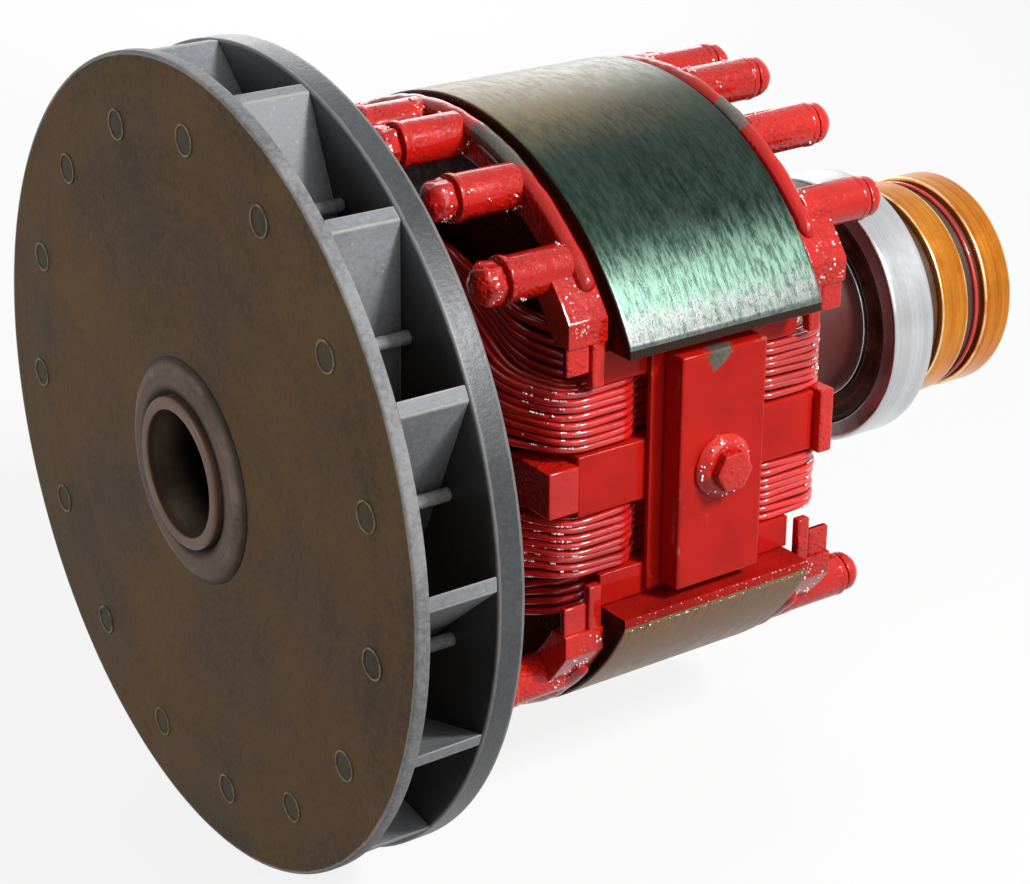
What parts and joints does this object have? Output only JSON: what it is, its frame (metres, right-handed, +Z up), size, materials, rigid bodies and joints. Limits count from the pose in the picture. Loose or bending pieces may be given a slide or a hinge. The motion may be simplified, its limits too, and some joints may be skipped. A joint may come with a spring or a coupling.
{
  "type": "generator rotor",
  "caption": "Wound salient-pole generator rotor with a radial cooling fan, hollow drive shaft, clamped field coils, ball bearing and brass slip rings.",
  "frame": {"origin": "centre of the shaft's flat drive-end face", "axes": "+X along the shaft from the fan to the slip rings, +Z up along the pole axis"},
  "size_m": [0.3945, 0.318, 0.318],
  "materials": {
    "machined_steel": "turned, oiled",
    "fan_plate_finish": "worn dark paint",
    "fan_wheel_finish": "worn grey paint",
    "pole_iron": "turned face, varnished sides",
    "red_varnish": "thick gloss insulating varnish",
    "varnished_wire": "gloss varnish over round wire",
    "insulating_board": "varnished",
    "bearing_steel": "ground and polished",
    "seal_rubber": "satin",
    "slip_ring_brass": "polished by the brushes",
    "moulded_insulation": "moulded, satin"
  },
  "bodies": {
    "rotor": {"bearing_inner_race": "bearing_steel", "fan_blades": "fan_wheel_finish", "fan_disc": "fan_plate_finish", "fan_hub": "fan_plate_finish", "fan_ring": "fan_wheel_finish", "fan_rivets": "fan_plate_finish", "front_base_plate": "red_varnish", "front_cover_bolt": "red_varnish", "front_cover_plate": "red_varnish", "front_end_blocks": "insulating_board", "front_slot_wedges": "insulating_board", "front_spacer": "insulating_board", "inboard_slip_ring": "slip_ring_brass", "lower_drive_end_bar": "red_varnish", "lower_drive_end_plate": "red_varnish", "lower_drive_sleeves": "red_varnish", "lower_field_coil": "varnished_wire", "lower_ring_end_bar": "red_varnish", "lower_ring_end_plate": "red_varnish", "lower_ring_sleeves": "red_varnish", "lower_studs": "red_varnish", "outboard_slip_ring": "slip_ring_brass", "pole_core": "pole_iron", "rear_base_plate": "red_varnish", "rear_cover_bolt": "red_varnish", "rear_cover_plate": "red_varnish", "rear_end_blocks": "insulating_board", "rear_slot_wedges": "insulating_board", "rear_spacer": "insulating_board", "shaft": "machined_steel", "slip_ring_insulator": "moulded_insulation", "upper_drive_end_bar": "red_varnish", "upper_drive_end_plate": "red_varnish", "upper_drive_sleeves": "red_varnish", "upper_field_coil": "varnished_wire", "upper_ring_end_bar": "red_varnish", "upper_ring_end_plate": "red_varnish", "upper_ring_sleeves": "red_varnish", "upper_studs": "red_varnish"},
    "bearing_outer": {"bearing_outer_race": "bearing_steel", "bearing_seals": "seal_rubber"}
  },
  "joints": [
    {"name": "bearing_spin", "type": "hinge", "parent": "rotor", "child": "bearing_outer", "pos_m": [0.32355, 0, 0], "axis": [1, 0, 0], "continuous": true}
  ]
}
